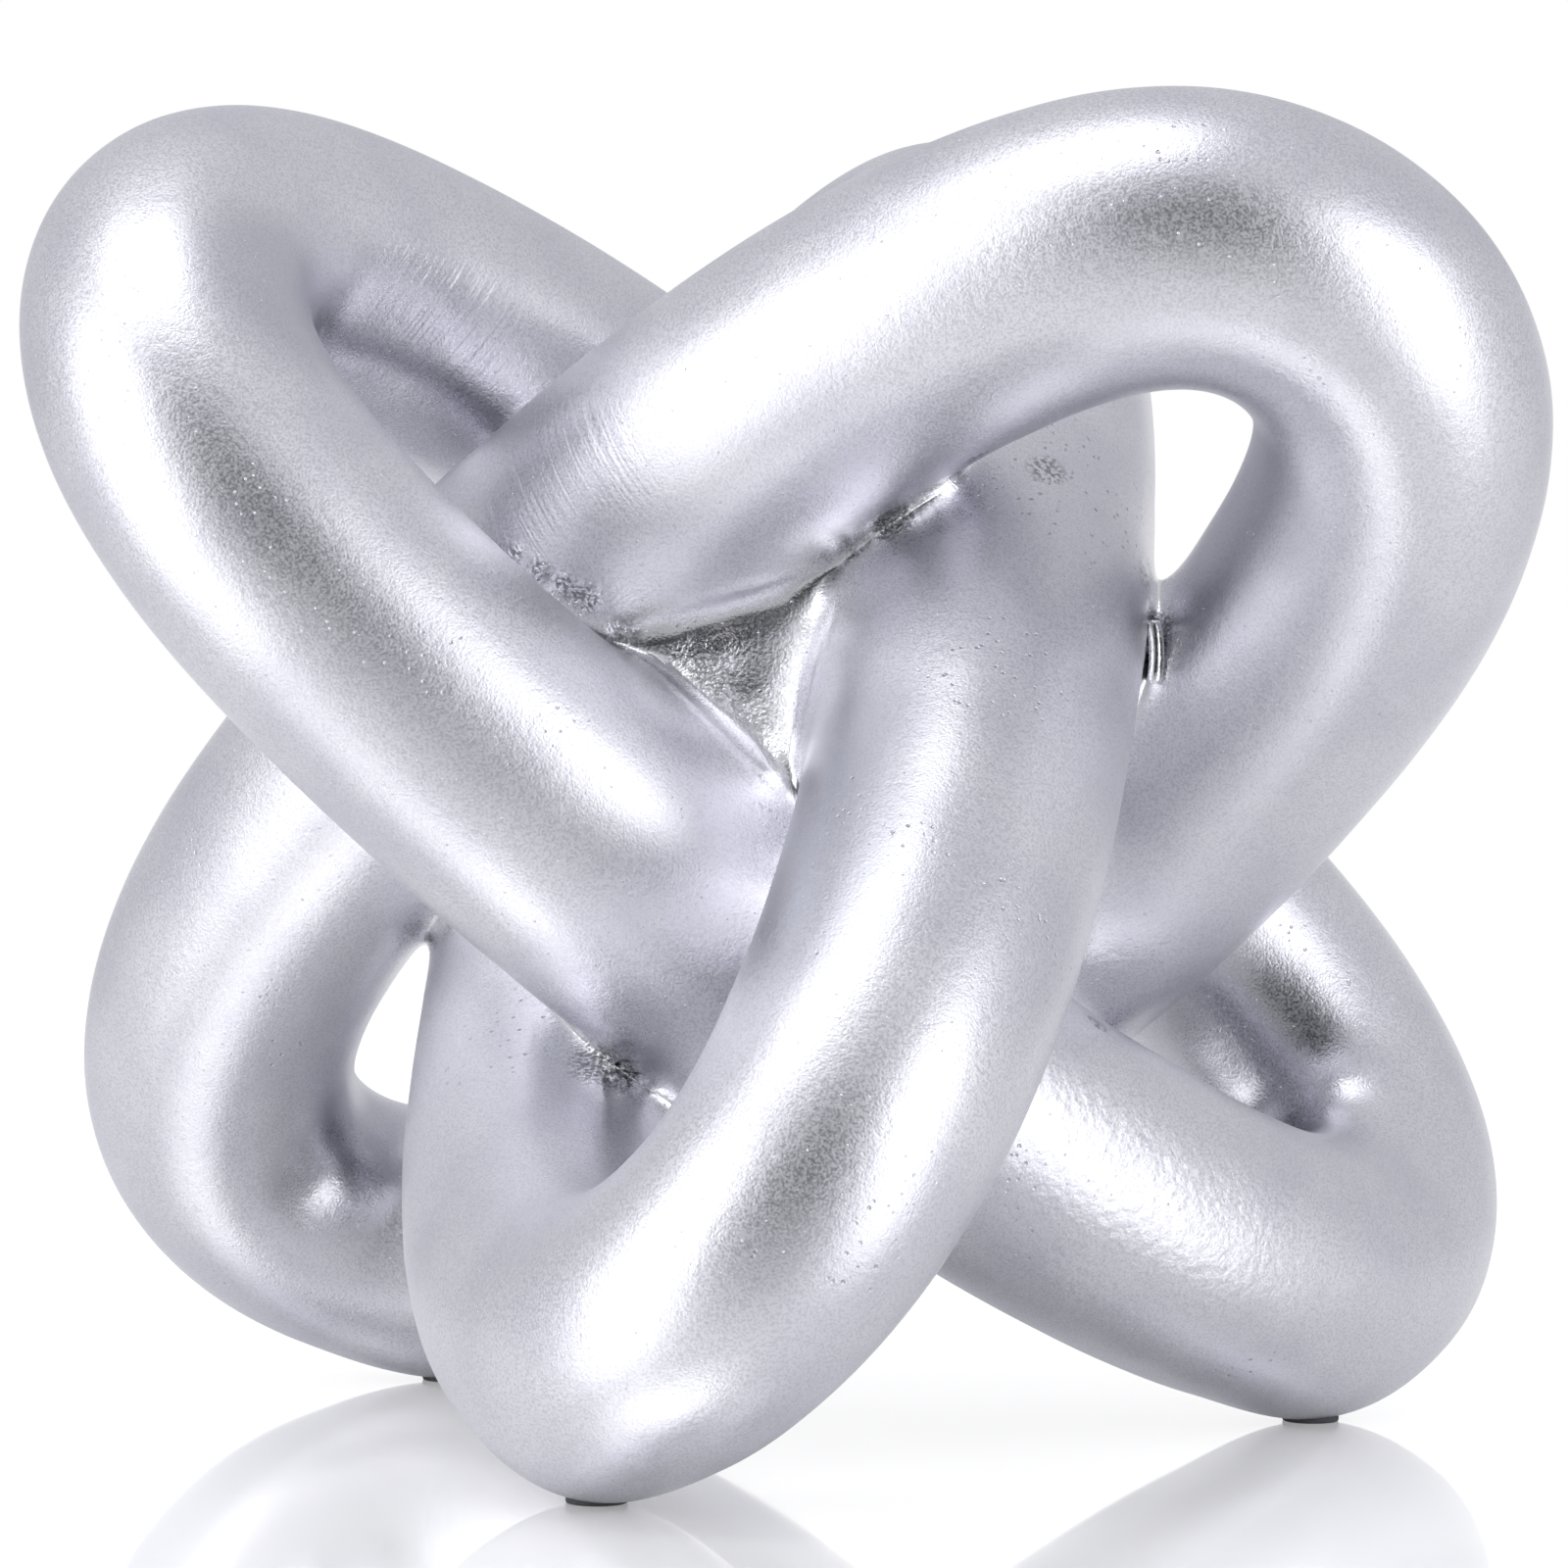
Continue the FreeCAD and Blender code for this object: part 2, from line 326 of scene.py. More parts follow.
# middle and reach in mm; the front ones are where the photo shows them, the back ones are guesses
spots = {
    "sanded": [((-18, -31.5, 91), 13), ((-31.5, -16.5, 108), 11), ((-23.5, -26, 39.5), 8),
               ((20, 30, 60), 11), ((-12, 34, 45), 10), ((24, 30, 95), 11)],
    "crinkled": [((-13.5, -30, 37.5), 4.5), ((9.5, -25, 85.5), 3), ((12.5, -27.5, 88.5), 3),
                 ((17.5, -28.5, 91.5), 2.2), ((21.5, -32, 94), 1.8), ((-12, -27.5, 78.5), 3.2),
                 ((-15.5, -30, 81), 1.9), ((-17.5, -30, 82), 1.7), ((-20, -30, 83.5), 1.5),
                 ((-22.5, -29, 85), 1.3), ((26.5, -21, 93), 2.6),
                 ((36, -15.5, 79), 2.5), ((34.5, -16, 83), 2.5), ((31, -12, 41), 1.6)],
    "pitted": [((30.5, -21, 90.5), 15), ((24.5, -45, 75), 9), ((-23.5, -26, 39.5), 10)],
    # dents and glossier paint in the hollows, with painted shade
    "dentedAndShaded": [((-36, -19.5, 106), 12), ((-34.5, -12, 99), 12), ((45, 30, 35), 14),
                 ((-49.5, 21.5, 22.5), 9), ((-13.5, -36.5, 42), 9)],
    # painted shade on the eyes' inner rims and the front limb's left side
    "shaded": [((10, -50, 66), 13), ((11, -57.5, 61), 13), ((11, -65, 55), 12), ((-41, -42, 108), 13),
               ((47, -27, 90.5), 10), ((42.5, -20.5, 86), 10), ((-47.5, 25, 27), 11)],
    "peeled": [((38.5, -14.5, 27), 24), ((-40, 10, 20), 14)],
}


def near(points, spotList):
    # 1 in the middle half of each spot, falling to 0 at its reach
    amount = np.zeros(len(points))
    for middle, reach in spotList:
        away = np.linalg.norm(points - np.array(middle) * mm, axis=1) / (reach * mm)
        amount = np.maximum(amount, np.clip(2 - 2 * away, 0, 1))
    return amount * amount * (3 - 2 * amount)


def starHeights(points):
    # flash squeezed out where the front limb meets the bar behind it
    away = points - np.array(handMade["starPlace"])
    level = np.array(handMade["starLevel"])
    side = np.cross(level, (0, 0, 1))
    side = side / np.linalg.norm(side)
    upward = np.cross(side, level)
    angle = np.arctan2(away @ upward, away @ side)
    distance = np.linalg.norm(away, axis=1) / handMade["starReach"]
    rays = np.abs(np.cos(angle * handMade["starRays"] / 2 + 0.6)) ** 6
    return handMade["starHeight"] * rays * np.clip(1 - distance, 0, 1) ** 1.5


def buildSkin():
    points, faces = roughUnion()
    points = ontoSkin(points, 3)
    for step in range(3):
        points = ontoSkin(relaxed(points, faces), 2)
    normals = pointNormals(points, faces)
    distances = fusedField(points)[2]
    ordered = np.sort(distances[:, :3], axis=1)
    outside = distances[:, 3] - ordered[:, 0]  # below 0 where the filler is the outermost
    close = np.clip(1 - (ordered[:, 1] - ordered[:, 0]) / handMade["dentReach"], 0, 1)
    close = np.maximum(close, near(points, spots["dentedAndShaded"]))
    onWeb = np.clip(-outside / handMade["webEdge"], 0, 1)
    crumple = 0.55 - points[:, 0] / handMade["webCrumpleFade"]
    crumple = onWeb * np.clip(crumple, handMade["webLeast"], 1)
    edge = (outside - handMade["lipPlace"]) / handMade["lipWidth"]
    lip = np.exp(-edge * edge) * (0.5 + 0.5 * softNoise(points, handMade["lipNoise"], 6))
    lip = lip * (softness(points) > 2 * mm)  # only where three bars meet
    underFoot = np.zeros(len(points))
    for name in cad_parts:
        if name.endswith("_pad"):
            low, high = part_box(name)
            fromPad = np.linalg.norm(points - (np.array(low) + np.array(high)) / 2, axis=1)
            underFoot = np.maximum(underFoot, eased(1 - fromPad / handMade["footReach"]))
    masks = {
        "close": close * (1 - onWeb),
        "crinkled": np.maximum(near(points, spots["crinkled"]), crumple),
        "sanded": near(points, spots["sanded"]) * (1 - onWeb),
        "pitted": near(points, spots["pitted"]),
        "dentedAndShaded": near(points, spots["dentedAndShaded"]),
        "shaded": near(points, spots["shaded"]),
        "peeled": near(points, spots["peeled"]),
    }
    push = handMade["wave"] * softNoise(points, handMade["waveSize"], 1)
    push = push + handMade["ripple"] * softNoise(points, handMade["rippleSize"], 2)
    push = push + handMade["dent"] * close * softNoise(points, handMade["dentSize"], 3)
    push = push + handMade["webCrumple"] * crumple * softNoise(points, handMade["webCrumpleSize"], 4)
    push = push + handMade["lip"] * lip
    push = push + starHeights(points) + handMade["footDrop"] * underFoot
    points = points + normals * push[:, None]
    points[:, 2] = np.maximum(points[:, 2], padLook["seen"])
    return points, faces, masks


skinPoints, skinFaces, skinMasks = buildSkin()
skinNormals = pointNormals(skinPoints, skinFaces)
print("skin made,", len(skinPoints), "points")

# the skin is parted along its joints into the castings, the welds and the filler
weldBlend = 0.12 * mm  # where two bars have run together by this much, it is weld


def contactPoints():
    # the middle of each place where two limbs meet, from the weld nodes' boxes
    names = [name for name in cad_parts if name.endswith("_weld")]
    middles = []
    for name in names:
        low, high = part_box(name)
        middles.append((np.array(low) + np.array(high)) / 2)
    return names, np.array(middles)


def pieceOfFaces(points, faces):
    centres = points[faces].mean(axis=1)
    value, _, distances = fusedField(centres)
    nearest = distances.argmin(axis=1)
    blend = distances.min(axis=1) - value
    pieces = np.empty(len(faces), dtype=object)
    for index, ring in enumerate(ringList):
        origin, axes = ringFrames[index]
        along = (centres - origin) @ axes[0]
        pieces[(nearest == index) & (along >= 0)] = ring["lobes"][0]
        pieces[(nearest == index) & (along < 0)] = ring["lobes"][1]
    ordered = np.sort(distances[:, :3], axis=1)
    twoBars = (ordered[:, 1] - ordered[:, 0]) < (distances[:, 3] - ordered[:, 0])
    welded = (blend > weldBlend) & twoBars
    names, middles = contactPoints()
    closest = np.argmin(((centres[:, None, :] - middles[None]) ** 2).sum(axis=2), axis=1)
    pieces[welded] = np.array(names, dtype=object)[closest[welded]]
    pieces[(nearest == 3) | ((blend > weldBlend) & ~twoBars)] = "central_web"
    return pieces


def creaseAmount(points):
    # 1 in the bottom of a narrow crease, less in a wide hollow or at the blended joint;
    # two bars at the same distance run together by about 0.69 of the softness
    value, _, distances = fusedField(points)
    soft = softness(points)
    fillet = (distances.min(axis=1) - value) / (0.69 * soft)
    narrow = 0.45 + 0.55 * (soft < 1.5 * mm)
    blended = eased(1.6 - fromBlended(points))
    return eased(fillet * 1.15 - 0.15) * narrow * (1 - 0.85 * blended)


class Wire:
    # one output socket that can be used in sums

    def __init__(self, recipe, socket):
        self.recipe = recipe
        self.socket = socket

    def joined(self, how, first, second):
        if self.socket.type == "VALUE":
            return self.recipe.node("ShaderNodeMath", {"operation": how}, {0: first, 1: second})
        if self.socket.type == "VECTOR":
            return self.recipe.node("ShaderNodeVectorMath", {"operation": how}, {0: first, 1: second})
        settings = {"data_type": "RGBA", "blend_type": how}
        return self.recipe.node("ShaderNodeMix", settings, {0: 1.0, 6: first, 7: second}, 2)

    def __add__(self, other):
        return self.joined("ADD", self, other)

    def __radd__(self, other):
        return self.joined("ADD", other, self)

    def __sub__(self, other):
        return self.joined("SUBTRACT", self, other)

    def __rsub__(self, other):
        return self.joined("SUBTRACT", other, self)

    def __mul__(self, other):
        return self.joined("MULTIPLY", self, other)

    def __rmul__(self, other):
        return self.joined("MULTIPLY", other, self)


class Recipe:
    # the nodes of a material or of the world

    def __init__(self, owner, outputKind="ShaderNodeOutputMaterial"):
        self.owner = owner
        self.owner.use_nodes = True
        self.tree = self.owner.node_tree
        self.tree.nodes.clear()
        self.output = self.tree.nodes.new(outputKind)

    def node(self, kind, settings, sockets, outlet=0):
        made = self.tree.nodes.new(kind)
        for name, value in settings.items():
            setattr(made, name, value)
        for name, value in sockets.items():
            if isinstance(value, Wire):
                self.tree.links.new(value.socket, made.inputs[name])
            else:
                made.inputs[name].default_value = value
        return Wire(self, made.outputs[outlet])

    def painted(self, name):
        return self.node("ShaderNodeAttribute", {"attribute_name": name}, {}, "Fac")

    def noise(self, place, size, detail=2.0):
        sockets = {"Vector": place, "Scale": 1 / size, "Detail": detail}
        return self.node("ShaderNodeTexNoise", {}, sockets)

    def dots(self, place, spacing, size, inner, outer):
        # 1 in round dots of this size, one for each spacing
        away = self.node("ShaderNodeTexVoronoi", {}, {"Vector": place, "Scale": 1 / spacing})
        share = size / spacing
        return self.ramp(away, share * inner, share * outer, 1.0, 0.0)

    def ramp(self, value, low, high, lowResult=0.0, highResult=1.0):
        sockets = {"Value": value, 1: low, 2: high, 3: lowResult, 4: highResult}
        return self.node("ShaderNodeMapRange", {"interpolation_type": "SMOOTHSTEP"}, sockets)

    def blend(self, share, first, second):
        return self.node("ShaderNodeMix", {"data_type": "RGBA"}, {0: share, 6: first, 7: second}, 2)

    def finish(self, shader):
        self.tree.links.new(shader.socket, self.output.inputs["Surface"])
        return self.owner


paintLook = {
    "color": (0.82, 0.815, 0.86, 1),
    "shade": (0.73, 0.73, 0.785, 1),  # in the clouds
    "hollow": (0.54, 0.54, 0.59, 1),  # between the grains, and painted shade in the crevices
    "crinkleHollow": (0.16, 0.16, 0.17, 1),
    "creaseColor": (0.86, 0.86, 0.88, 1),
    "roughness": 0.40,
    "closeRoughness": 0.28,  # in the crevices, which are never sanded
    "hollowShadeDepth": 0.55,  # painted shade: how much darker they are
    "paintedShadeColor": (0.42, 0.43, 0.48, 1),  # painted shade on the eyes' inner rims and the front limb's left side
    "paintedShadeDepth": 0.42,
    "creaseRoughness": 0.15,
    "grainSize": 0.25 * mm,
    "grainHeight": 0.028 * mm,
    "grainDepth": 0.55,  # how much darker the grain's hollows are
    "peelSize": 1.0 * mm,
    "peelHeight": 0.028 * mm,
    "peeledExtra": 2.2,  # how much rougher the peel is at its worst places
    "cloudSize": 14 * mm,  # slow changes of shade
    "dustSpacing": 1.3 * mm,  # specks caught in the paint: raised, each with a painted white highlight
    "dustSize": 0.08 * mm,
    "dustHeight": 0.05 * mm,
    "dustGlintShare": 0.35,
    "ridgeSize": 0.50 * mm,  # sanding marks
    "ridgeLength": 9 * mm,
    "ridgeHeight": 0.06 * mm,
    "crinkleSize": 0.40 * mm,
    "crinkleHeight": 0.16 * mm,
    "crinkleDepth": 0.75,  # how much darker the crinkles' hollows are
    "pitSpacing": 1.15 * mm,
    "pitSize": 0.16 * mm,
    "pitDepth": 0.10 * mm,
    "pitColor": (0.2, 0.2, 0.22, 1),
    "pitShade": 0.5,
    "strayPits": 0.7,  # away from the pitted places, in some of the clouds
}


def silverPaint(name, along):
    look = paintLook
    recipe = Recipe(bpy.data.materials.new(name))
    place = recipe.node("ShaderNodeTexCoord", {}, {}, "Object")
    crease = recipe.painted("crease")
    sanded = recipe.painted("sanded")
    crinkled = recipe.painted("crinkled")
    grain = recipe.noise(place, look["grainSize"], 1.0)
    peel = recipe.noise(place, look["peelSize"], 1.0)
    cloud = recipe.noise(place, look["cloudSize"], 2.0)
    # sanding marks run round the bar: quick changes along the ring, slow ones every other way
    dotSockets = {0: place, 1: along}
    lengthwise = recipe.node("ShaderNodeVectorMath", {"operation": "DOT_PRODUCT"}, dotSockets, "Value")
    slowSockets = {0: place, "Scale": 1 / look["ridgeLength"]}
    slow = recipe.node("ShaderNodeVectorMath", {"operation": "SCALE"}, slowSockets)
    quick = recipe.node("ShaderNodeCombineXYZ", {}, {0: lengthwise * (1 / look["ridgeSize"])})
    ridges = recipe.noise(quick + slow, 1.0, 1.0)
    crumple = recipe.noise(place, look["crinkleSize"], 3.0)
    stray = recipe.ramp(cloud, 0.60, 0.72) * look["strayPits"]
    pitSockets = {0: recipe.painted("pitted"), 1: stray}
    pitted = recipe.node("ShaderNodeMath", {"operation": "MAXIMUM"}, pitSockets)
    pit = recipe.dots(place, look["pitSpacing"], look["pitSize"], 0.5, 1.5) * pitted
    dustAndGlint = recipe.dots(place, look["dustSpacing"], look["dustSize"], 0.6, 1.7)
    peeled = 1 + look["peeledExtra"] * recipe.painted("peeled")
    height = grain * look["grainHeight"] + peel * peeled * look["peelHeight"]
    height = height + ridges * sanded * look["ridgeHeight"]
    height = height + crumple * crinkled * look["crinkleHeight"]
    height = height - pit * look["pitDepth"] + dustAndGlint * look["dustHeight"]
    bump = recipe.node("ShaderNodeBump", {}, {"Strength": 1.0, "Distance": 1.0, "Height": height})
    color = recipe.blend(recipe.ramp(cloud, 0.35, 0.7), look["color"], look["shade"])
    color = recipe.blend(recipe.ramp(grain, 0.62, 0.30) * look["grainDepth"], color, look["hollow"])
    # painted shade in the hollows
    color = recipe.blend(recipe.painted("dentedAndShaded") * look["hollowShadeDepth"], color, look["hollow"])
    # painted shade at the shaded spots
    color = recipe.blend(recipe.painted("shaded") * look["paintedShadeDepth"], color, look["paintedShadeColor"])
    color = recipe.blend(crease, color, look["creaseColor"])
    crinkleDark = recipe.ramp(crumple, 0.58, 0.42) * crinkled * look["crinkleDepth"]
    color = recipe.blend(crinkleDark, color, look["crinkleHollow"])
    # painted highlights: the raised specks are lit white
    color = recipe.blend(dustAndGlint * look["dustGlintShare"], color, white)
    color = recipe.blend(pit * look["pitShade"], color, look["pitColor"])
    rough = recipe.ramp(grain, 0.3, 0.7, look["roughness"] - 0.05, look["roughness"] + 0.05)
    shiny = recipe.node("ShaderNodeMath", {"operation": "MAXIMUM"}, {0: crease, 1: crinkled})
    rough = rough - recipe.painted("close") * (look["roughness"] - look["closeRoughness"])
    rough = rough * (1 - shiny) + shiny * look["creaseRoughness"]
    shader = recipe.node("ShaderNodeBsdfPrincipled", {}, {
        "Base Color": color, "Roughness": rough, "Metallic": 1.0, "Normal": bump})
    return recipe.finish(shader)


rubberLook = {
    "dark": (0.05, 0.05, 0.055, 1),
    "light": (0.11, 0.11, 0.12, 1),
    "grainSize": 0.3 * mm,
    "grainHeight": 0.02 * mm,
    "roughness": 0.75,
}


def rubber():
    look = rubberLook
    recipe = Recipe(bpy.data.materials.new("darkPad"))
    place = recipe.node("ShaderNodeTexCoord", {}, {}, "Object")
    grain = recipe.noise(place, look["grainSize"], 2.0)
    color = recipe.blend(grain, look["dark"], look["light"])
    height = grain * look["grainHeight"]
    bump = recipe.node("ShaderNodeBump", {}, {"Strength": 1.0, "Distance": 1.0, "Height": height})
    return recipe.finish(recipe.node("ShaderNodeBsdfPrincipled", {}, {
        "Base Color": color, "Roughness": look["roughness"], "Normal": bump}))


steelLook = {
    "dark": (0.50, 0.50, 0.52, 1),
    "light": (0.62, 0.62, 0.64, 1),
    "grainSize": 0.5 * mm,
    "smoothest": 0.3,
    "roughest": 0.45,
}


def turnedSteel():
    look = steelLook
    recipe = Recipe(bpy.data.materials.new("turnedSteel"))
    place = recipe.node("ShaderNodeTexCoord", {}, {}, "Object")
    grain = recipe.noise(place, look["grainSize"], 3.0)
    color = recipe.blend(grain, look["dark"], look["light"])
    rough = recipe.ramp(grain, 0.3, 0.7, look["smoothest"], look["roughest"])
    return recipe.finish(recipe.node("ShaderNodeBsdfPrincipled", {}, {
        "Base Color": color, "Roughness": rough, "Metallic": 1.0}))


def makePieces():
    owners = pieceOfFaces(skinPoints, skinFaces)
    skinMasks["crease"] = creaseAmount(skinPoints)
    paints = []
    for index in range(3):
        along = tuple(ringFrames[index][1][0])
        paints.append(silverPaint("silverPaint" + str(index + 1), along))
    names = sorted(set(owners))
    for name in names:
        faces = skinFaces[owners == name]
        used, faces = np.unique(faces, return_inverse=True)
        faces = faces.reshape(-1, 4)
        mesh = bpy.data.meshes.new(name + "_skin")
        mesh.from_pydata(skinPoints[used].tolist(), [], faces.tolist())
        mesh.polygons.foreach_set("use_smooth", [True] * len(faces))
        for mask, values in skinMasks.items():
            attribute = mesh.attributes.new(mask, "FLOAT", "POINT")
            attribute.data.foreach_set("value", values[used])
        mesh.normals_split_custom_set_from_vertices(skinNormals[used].tolist())
        paint = paints[0]
        for index, ring in enumerate(ringList):
            if name.startswith(ring["lobes"]):
                paint = paints[index]
        mesh.materials.append(paint)
        piece = bpy.data.objects.new(name + "_skin", mesh)
        bpy.context.scene.collection.objects.link(piece)
        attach(piece, "root")
        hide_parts(name)
    return len(names)


# a short stub of wire caught in the weld under the upper right lobe's eye
pinLook = {
    "top": (36.3, -16.4, 79.2),  # mm, like the next
    "bottom": (36.4, -16.7, 73.3),
    "radius": 0.78 * mm,
    "bend": 0.25 * mm,
    "levels": (0, 0.012, 0.05, 0.2, 0.4, 0.6, 0.8, 0.95, 0.988, 1),
    "rounding": {0: 0.35 * mm, 0.012: 0.1 * mm, 0.988: 0.1 * mm, 1: 0.35 * mm},  # off the radius there
    "sides": 24,
}


def makePin():
    top, bottom = Vector(pinLook["top"]) * mm, Vector(pinLook["bottom"]) * mm
    run = bottom - top
    side = run.cross(Vector((0, 1, 0))).normalized()
    front = run.cross(side).normalized()
    levels, sides = pinLook["levels"], pinLook["sides"]
    points, faces = [], []
    for share in levels:
        radius = pinLook["radius"] - pinLook["rounding"].get(share, 0)
        middle = top + run * share + side * pinLook["bend"] * math.sin(share * math.pi)
        for step in range(sides):
            angle = 2 * math.pi * step / sides
            points.append(middle + (side * math.cos(angle) + front * math.sin(angle)) * radius)
    for level in range(len(levels) - 1):
        for step in range(sides):
            after = (step + 1) % sides
            low, high = level * sides, (level + 1) * sides
            faces.append((low + step, low + after, high + after, high + step))
    faces.append(tuple(range(sides)))
    faces.append(tuple(reversed(range(len(points) - sides, len(points)))))
    mesh = bpy.data.meshes.new("pin")
    mesh.from_pydata([tuple(p) for p in points], [], faces)
    mesh.polygons.foreach_set("use_smooth", [True] * len(faces))
    for mask in skinMasks:
        attribute = mesh.attributes.new(mask, "FLOAT", "POINT")
        attribute.data.foreach_set("value", [1.0 if mask == "crease" else 0.0] * len(points))
    mesh.materials.append(bpy.data.materials["silverPaint3"])
    pin = bpy.data.objects.new("pin", mesh)
    bpy.context.scene.collection.objects.link(pin)
    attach(pin, "root")
    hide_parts("upper_right_lobe_right_weld")


pieceCount = makePieces()
makePin()
print("pieces made,", pieceCount + 1)


def padPiece(name):
    low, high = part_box(name)
    middle = (Vector(low) + Vector(high)) / 2
    radius = (high[0] - low[0]) / 2 - padLook["narrower"]
    top, edge, sides = high[2], padLook["edge"], padLook["sides"]
    corner = edge * 0.3
    outline = [(radius - edge, low[2]), (radius - corner, low[2] + corner), (radius, low[2] + edge),
               (radius, top - edge), (radius - corner, top - corner), (radius - edge, top)]
    points, faces = [], []
    for r, z in outline:
        for step in range(sides):
            angle = 2 * math.pi * step / sides
            points.append((middle[0] + r * math.cos(angle), middle[1] + r * math.sin(angle), z))
    last = (len(outline) - 1) * sides
    for start in range(0, last, sides):
        above = start + sides
        for step in range(sides):
            after = (step + 1) % sides
            faces.append((start + step, start + after, above + after, above + step))
    faces.append(tuple(reversed(range(sides))))
    faces.append(tuple(range(last, last + sides)))
    mesh = bpy.data.meshes.new(name + "_disc")
    mesh.from_pydata(points, [], faces)
    mesh.materials.append(padRubber)
    disc = bpy.data.objects.new(name + "_disc", mesh)
    bpy.context.scene.collection.objects.link(disc)
    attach(disc, "root")
    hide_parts(name)


padRubber = rubber()
dowelSteel = turnedSteel()
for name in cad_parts:
    if name.endswith("_pad"):
        padPiece(name)
    if name.endswith("_dowel"):
        dowelMesh = bpy.data.objects[name].data
        dowelMesh.materials.clear()
        dowelMesh.materials.append(dowelSteel)
print("pads and dowels dressed")

stageLook = {
    "floorRadius": 0.75,
    "floorSides": 96,
    "floorColor": (0.9, 0.9, 0.9, 1),
    "floorRoughness": 0.04,  # of its gloss
    "floorGloss": 0.59,
    "floorGlow": 0.56,  # as the camera sees it
    "floorGlowOnKnot": 0.22,
    "backdrop": {"distance": 0.8, "halfWidth": 0.5, "low": -0.05, "high": 0.25},
    "surroundColor": (0.95, 0.96, 1.0, 1),
    "surround": 0.66,  # plain light from all round
    "frontShade": 0.03,  # the darker part of the room, behind the camera
    "frontMiddle": (0.12, -0.97, 0.20),
    "frontInner": 12,  # degrees
    "frontOuter": 35,
    "lights": [
        # name, place, size, watts, aimed at the knot
        ("leftBox", (-0.70, -0.52, 0.24), (0.60, 0.72), 2.9),
        ("rightBox", (0.78, -0.47, 0.18), (0.50, 0.70), 2.5),
        ("topBox", (-0.06, -0.22, 0.82), (0.20, 0.36), 0.75),
        ("topLeftBox", (-0.34, -0.28, 0.78), (0.44, 0.40), 1.1),
    ],
}


def floorMaterial():
    look = stageLook
    recipe = Recipe(bpy.data.materials.new("paleFloor"))
    matte = recipe.node("ShaderNodeBsdfDiffuse", {}, {"Color": look["floorColor"]})
    seen = recipe.node("ShaderNodeLightPath", {}, {}, "Is Camera Ray")
    weak = recipe.node("ShaderNodeEmission", {}, {"Color": white, "Strength": look["floorGlowOnKnot"]})
    strong = recipe.node("ShaderNodeEmission", {}, {"Color": white, "Strength": look["floorGlow"]})
    glow = recipe.node("ShaderNodeMixShader", {}, {0: seen, 1: weak, 2: strong})
    body = recipe.node("ShaderNodeAddShader", {}, {0: matte, 1: glow})
    gloss = recipe.node("ShaderNodeBsdfGlossy", {}, {"Color": white, "Roughness": look["floorRoughness"]})
    mixed = recipe.node("ShaderNodeMixShader", {}, {0: look["floorGloss"], 1: body, 2: gloss})
    return recipe.finish(mixed)


def backdropMaterial():
    recipe = Recipe(bpy.data.materials.new("whiteBackdrop"))
    return recipe.finish(recipe.node("ShaderNodeEmission", {}, {"Color": white, "Strength": 1.0}))


def makeWorld():
    # even light, darker behind the camera; the camera itself sees plain white
    look = stageLook
    world = bpy.data.worlds.new("studio")
    recipe = Recipe(world, "ShaderNodeOutputWorld")
    place = recipe.node("ShaderNodeTexCoord", {}, {}, "Generated")
    front = tuple(Vector(look["frontMiddle"]).normalized())
    sockets = {0: place, 1: front}
    facing = recipe.node("ShaderNodeVectorMath", {"operation": "DOT_PRODUCT"}, sockets, "Value")
    outer = math.cos(math.radians(look["frontOuter"]))
    inner = math.cos(math.radians(look["frontInner"]))
    strength = recipe.ramp(facing, outer, inner, look["surround"], look["frontShade"])
    sockets = {"Color": look["surroundColor"], "Strength": strength}
    around = recipe.node("ShaderNodeBackground", {}, sockets)
    plain = recipe.node("ShaderNodeBackground", {}, {"Color": white, "Strength": 1.0})
    seen = recipe.node("ShaderNodeLightPath", {}, {}, "Is Camera Ray")
    recipe.finish(recipe.node("ShaderNodeMixShader", {}, {0: seen, 1: around, 2: plain}))
    bpy.context.scene.world = world


def stageSheet(name, corners, material):
    mesh = bpy.data.meshes.new(name)
    mesh.from_pydata(corners, [], [tuple(range(len(corners)))])
    mesh.materials.append(material)
    sheet = bpy.data.objects.new(name, mesh)
    bpy.context.scene.collection.objects.link(sheet)


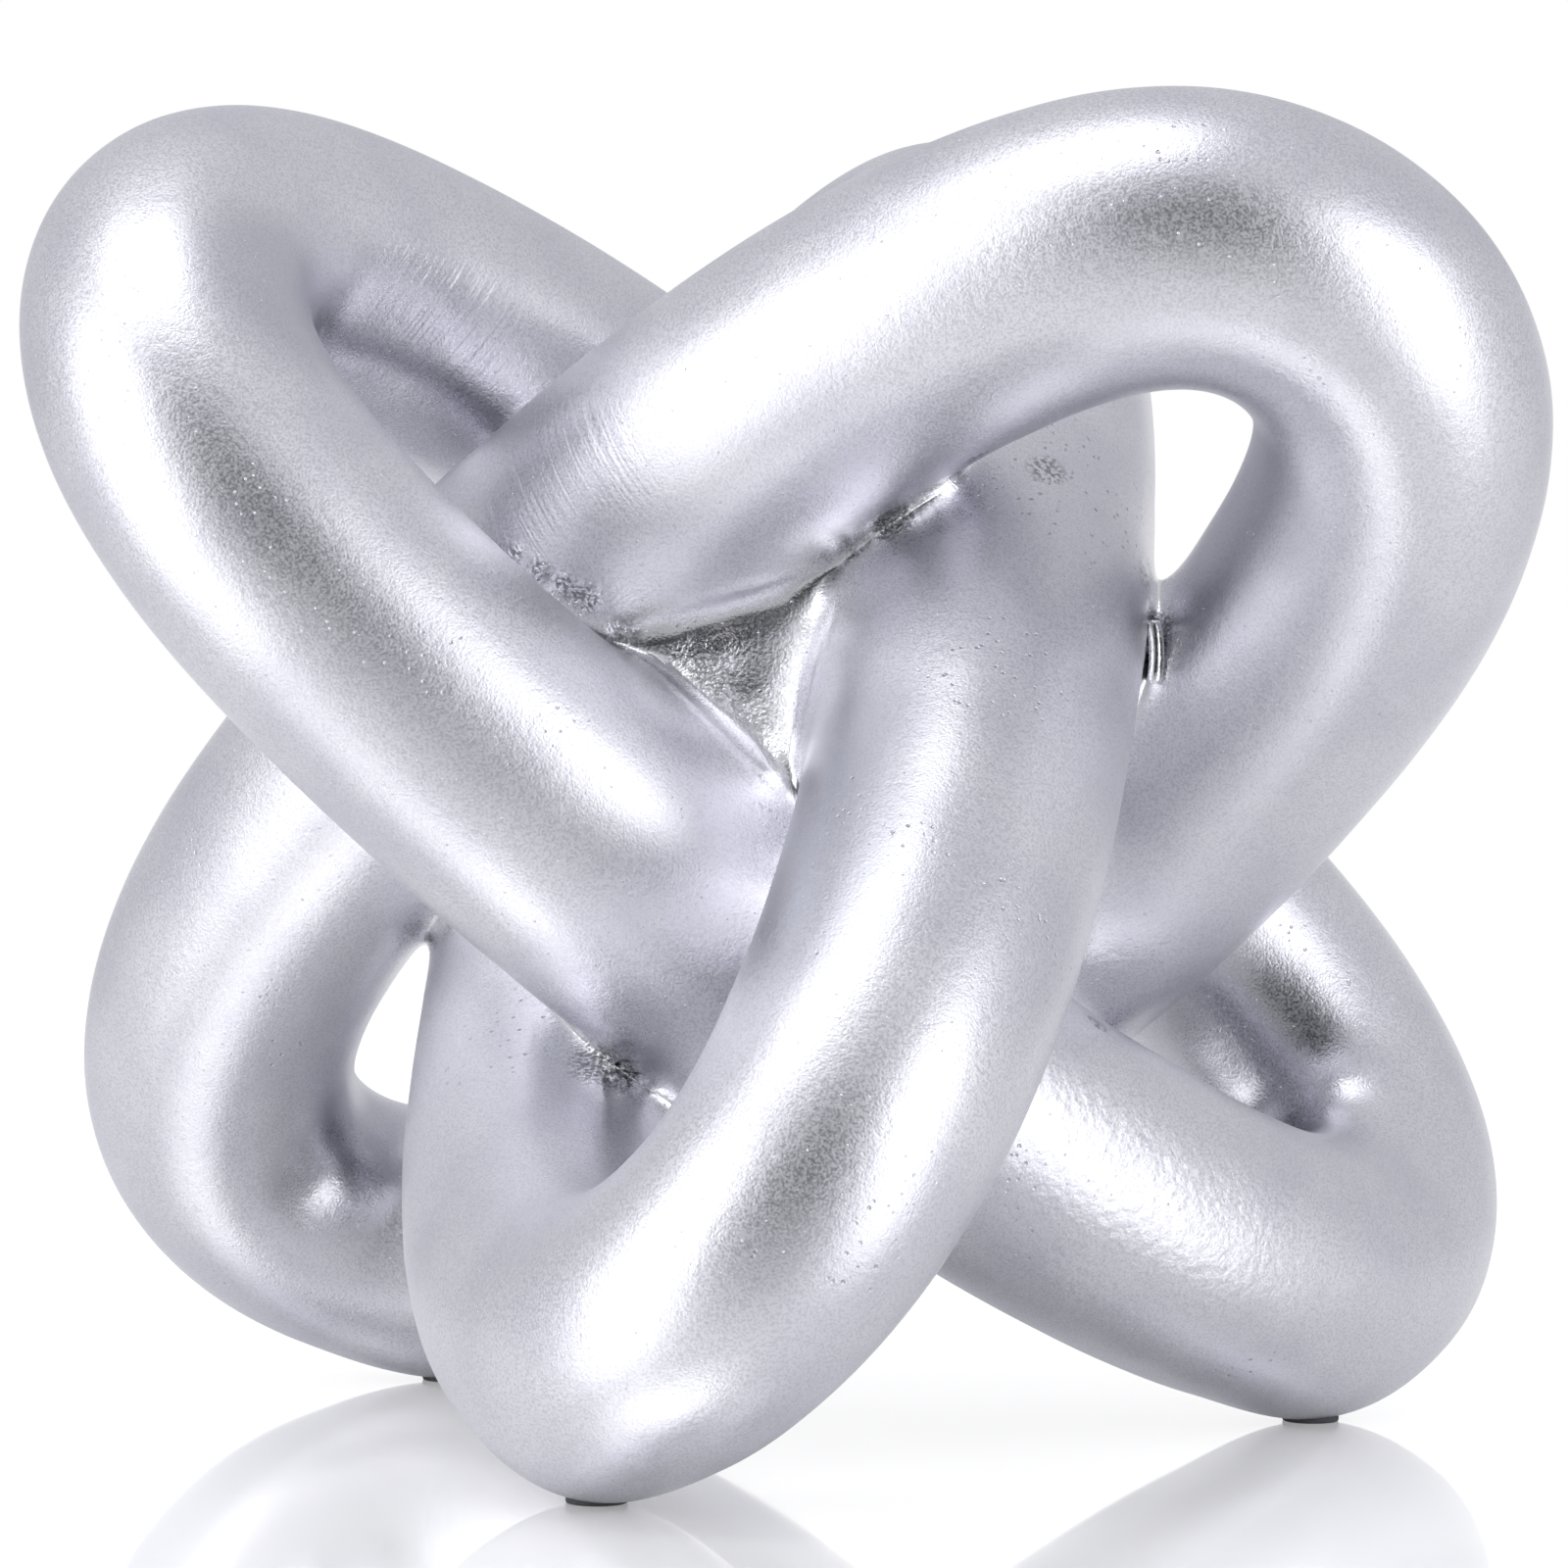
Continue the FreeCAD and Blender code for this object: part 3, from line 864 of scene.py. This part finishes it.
def makeStage():
    radius, sides = stageLook["floorRadius"], stageLook["floorSides"]
    turns = [2 * math.pi * step / sides for step in range(sides)]
    rim = [(radius * math.cos(turn), radius * math.sin(turn), 0) for turn in turns]
    stageSheet("floor", rim, floorMaterial())
    back = stageLook["backdrop"]
    half, away, low, high = back["halfWidth"], back["distance"], back["low"], back["high"]
    corners = [(-half, away, low), (half, away, low), (half, away, high), (-half, away, high)]
    stageSheet("backdrop", corners, backdropMaterial())
    for name, place, size, watts in stageLook["lights"]:
        data = bpy.data.lights.new(name, "AREA")
        data.shape = "RECTANGLE"
        data.size, data.size_y = size
        data.energy = watts
        lamp = bpy.data.objects.new(name, data)
        lamp.location = place
        toKnot = Vector(knotMiddle) - Vector(place)
        lamp.rotation_euler = toKnot.to_track_quat("-Z", "Y").to_euler()
        bpy.context.scene.collection.objects.link(lamp)
    makeWorld()


makeStage()
print("stage set")

# placed where the photo was taken from
cameraLook = {
    "distance": 609.0 * mm,
    "azimuth": 6.84,  # degrees, like the next four
    "elevation": 1.10,
    "yaw": 0.05,
    "pitch": 0.17,
    "roll": 0.33,
    "lens": 143.8,  # millimetres, on a sensor as wide as the next line says
    "sensor": 36,
}


def outward(azimuth, elevation):
    flat = math.cos(elevation)
    return Vector((math.sin(azimuth) * flat, -math.cos(azimuth) * flat, math.sin(elevation)))


def setCamera():
    angles = [math.radians(cameraLook[name]) for name in ("azimuth", "elevation", "yaw", "pitch", "roll")]
    azimuth, elevation, yaw, pitch, roll = angles
    away = outward(azimuth, elevation)
    ahead = -outward(azimuth + yaw, elevation + pitch)
    right = ahead.cross(Vector((0, 0, 1))).normalized()
    up = right.cross(ahead)
    level = right * math.cos(roll) + up * math.sin(roll)
    upright = up * math.cos(roll) - right * math.sin(roll)
    data = bpy.data.cameras.new("photoCamera")
    data.lens = cameraLook["lens"]
    data.sensor_width = cameraLook["sensor"]
    data.clip_start = 0.01
    camera = bpy.data.objects.new("photoCamera", data)
    facing = Matrix((level, upright, -ahead)).transposed().to_4x4()
    camera.matrix_world = Matrix.Translation(Vector(knotMiddle) + away * cameraLook["distance"]) @ facing
    bpy.context.scene.collection.objects.link(camera)
    bpy.context.scene.camera = camera


setCamera()
bpy.context.scene.view_settings.view_transform = "Standard"
